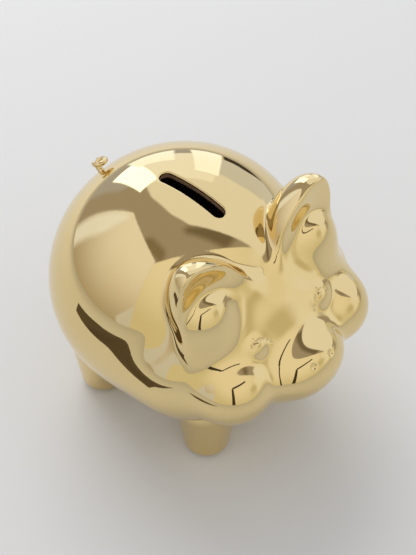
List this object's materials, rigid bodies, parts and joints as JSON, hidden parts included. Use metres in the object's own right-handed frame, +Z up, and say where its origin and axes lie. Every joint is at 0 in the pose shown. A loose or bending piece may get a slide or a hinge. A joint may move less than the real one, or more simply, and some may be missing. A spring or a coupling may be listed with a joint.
{
  "type": "piggy bank",
  "caption": "Round hollow ceramic pig with a coin slot on its back and a pull-out stopper under its belly.",
  "frame": {"origin": "on the resting plane, under the middle of the bank's box", "axes": "the body looks along -Y with its head turned 8 degrees to the pig's right, its left side is +X, and +Z is up"},
  "size_m": [0.14, 0.1676, 0.1563],
  "materials": {
    "gold_plating": "mirror gold plating over glaze",
    "foot_felt": "dense brown felt",
    "stopper_rubber": "matt dark grey rubber"
  },
  "bodies": {
    "bank": {"body_shell": "gold_plating", "snout": "gold_plating", "left_eye": "gold_plating", "right_eye": "gold_plating", "left_ear": "gold_plating", "right_ear": "gold_plating", "tail": "gold_plating", "front_left_leg": "gold_plating", "front_right_leg": "gold_plating", "rear_left_leg": "gold_plating", "rear_right_leg": "gold_plating", "front_left_pad": "foot_felt", "front_right_pad": "foot_felt", "rear_left_pad": "foot_felt", "rear_right_pad": "foot_felt"},
    "stopper": {"stopper": "stopper_rubber"}
  },
  "joints": [
    {"name": "stopper_pull", "type": "slide", "parent": "bank", "child": "stopper", "axis": [0, 0, -1], "range_m": [0, 0.02]}
  ]
}
